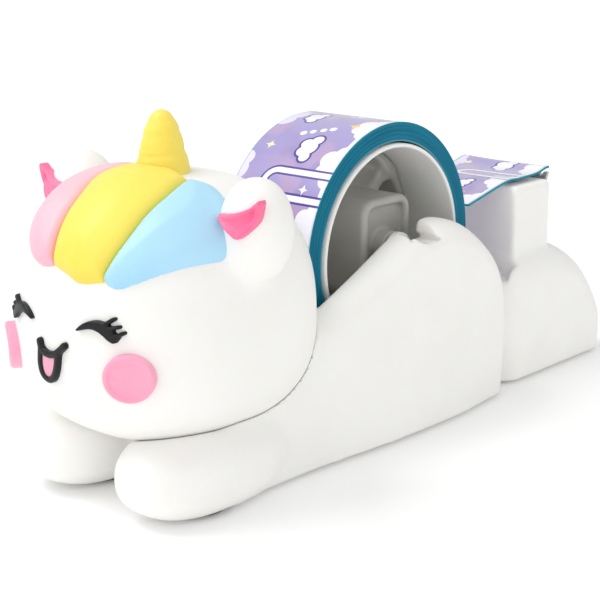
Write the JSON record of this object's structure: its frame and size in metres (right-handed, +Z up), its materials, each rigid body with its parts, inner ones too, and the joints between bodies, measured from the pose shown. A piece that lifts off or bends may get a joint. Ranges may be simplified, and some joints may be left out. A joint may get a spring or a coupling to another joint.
{
  "type": "tape dispenser",
  "caption": "Desk tape dispenser shaped as a lying unicorn: a lift-out spoked hub carries a narrow roll between the haunches, and a toothed cutter stands on a post behind it.",
  "frame": {"origin": "on the desk, under the middle of the whole object's box", "axes": "the head faces -Y and the cutter is towards +Y; +Z is up; +X is the unicorn's left side, and the roll turns about X"},
  "size_m": [0.0468, 0.13, 0.0572],
  "materials": {
    "body_white": "soft warm white moulded vinyl with a fine satin surface",
    "ear_pink": "hot pink moulded inlay, satin",
    "horn_yellow": "warm yellow moulded horn with shallow turned rings",
    "hair_pink": "pale pink moulded lock, satin",
    "hair_yellow": "yellow moulded lock, satin",
    "hair_blue": "sky blue moulded lock, satin",
    "face_black": "glossy black raised lines",
    "tongue_pink": "pale pink inlay, satin",
    "cheek_pink": "pink raised disc with a rounded rim, satin",
    "base_white": "white moulded cover, lightly textured",
    "screw_steel": "plated steel pan-head screw",
    "foot_rubber": "grey non-slip rubber",
    "ballast_steel": "plain dark steel weight",
    "blade_steel": "thin bright spring steel with cut teeth",
    "tape_print": "lavender printed film with white clouds and small motifs, teal wound edge",
    "core_white": "off-white pressed card core",
    "hub_frosted": "frosted translucent moulded hub",
    "axle_frosted": "frosted translucent pin",
    "washer_white": "natural white nylon washer"
  },
  "bodies": {
    "root": {"head_shell": "body_white", "body_shell": "body_white", "ear_inner_left": "ear_pink", "ear_inner_right": "ear_pink", "horn": "horn_yellow", "hair_lock_pink": "hair_pink", "hair_lock_yellow": "hair_yellow", "hair_lock_blue": "hair_blue", "eye_left": "face_black", "eye_right": "face_black", "mouth_outline": "face_black", "tongue": "tongue_pink", "cheek_left": "cheek_pink", "cheek_right": "cheek_pink", "base_cover": "base_white", "base_screw_1": "screw_steel", "base_screw_2": "screw_steel", "base_screw_3": "screw_steel", "base_screw_4": "screw_steel", "foot_pad_front_left": "foot_rubber", "foot_pad_front_right": "foot_rubber", "foot_pad_rear_left": "foot_rubber", "foot_pad_rear_right": "foot_rubber", "ballast_plate": "ballast_steel", "ballast_block": "ballast_steel", "cutter_blade": "blade_steel", "blade_screw_1": "screw_steel", "blade_screw_2": "screw_steel", "tape_tail": "tape_print"},
    "carriage": {"hub_axle": "axle_frosted", "axle_washer_left": "washer_white", "axle_washer_right": "washer_white"},
    "roll": {"hub_wheel": "hub_frosted", "tape_core": "core_white", "tape_roll": "tape_print"}
  },
  "joints": [
    {"name": "roll_lift", "type": "slide", "parent": "root", "child": "carriage", "axis": [0, 0, 1], "range_m": [0, 0.012]},
    {"name": "roll_spin", "type": "hinge", "parent": "carriage", "child": "roll", "pos_m": [0, 0.00018, 0.0306], "axis": [1, 0, 0], "continuous": true}
  ]
}
